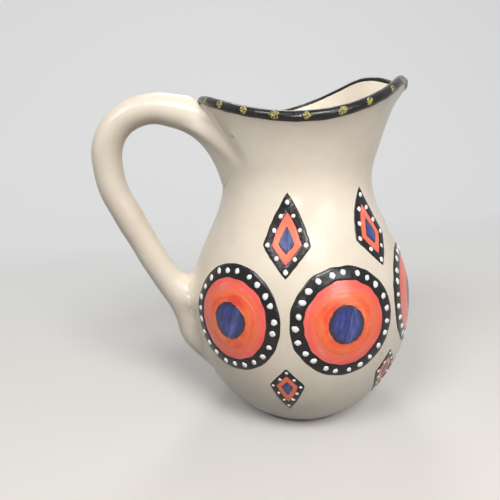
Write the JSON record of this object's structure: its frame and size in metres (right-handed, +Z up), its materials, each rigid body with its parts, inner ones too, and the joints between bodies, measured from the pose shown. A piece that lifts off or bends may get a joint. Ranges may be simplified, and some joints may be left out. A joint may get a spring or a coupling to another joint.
{
  "type": "pitcher",
  "caption": "Small glazed earthenware pouring pitcher with a pinched spout, a loop handle, a black rim with yellow dabs and a painted frieze of roundels and lozenges",
  "frame": {"origin": "on the axis of the round body, in the plane that the foot ring stands on", "axes": "+Z up, +X out through the spout, the handle at -X, and the part is the same on both sides of the XZ plane but for the lip's 1 mm sway, the drip beside the spout and the painted frieze's start"},
  "size_m": [0.1541, 0.1132, 0.1698],
  "materials": {
    "cream_glaze": "glossy cream glaze over pale earthenware",
    "bare_clay": "unglazed fired clay, matt",
    "black_paint": "glossy black under a clear glaze",
    "yellow_paint": "glossy dabs of yellow",
    "coral_paint": "brushed coral under a clear glaze",
    "orange_paint": "brushed orange under a clear glaze",
    "navy_paint": "brushed navy blue under a clear glaze",
    "white_paint": "raised dots of glossy white"
  },
  "bodies": {
    "root": {"body": "cream_glaze", "foot_ring": "bare_clay", "handle": "cream_glaze", "rim_band": "black_paint", "rim_dabs": "yellow_paint", "roundel_outlines": "black_paint", "roundel_grounds": "coral_paint", "roundel_glows": "orange_paint", "roundel_eyes": "navy_paint", "lozenge_outlines": "black_paint", "lozenge_grounds": "coral_paint", "lozenge_hearts": "navy_paint", "white_dots": "white_paint"}
  },
  "joints": []
}
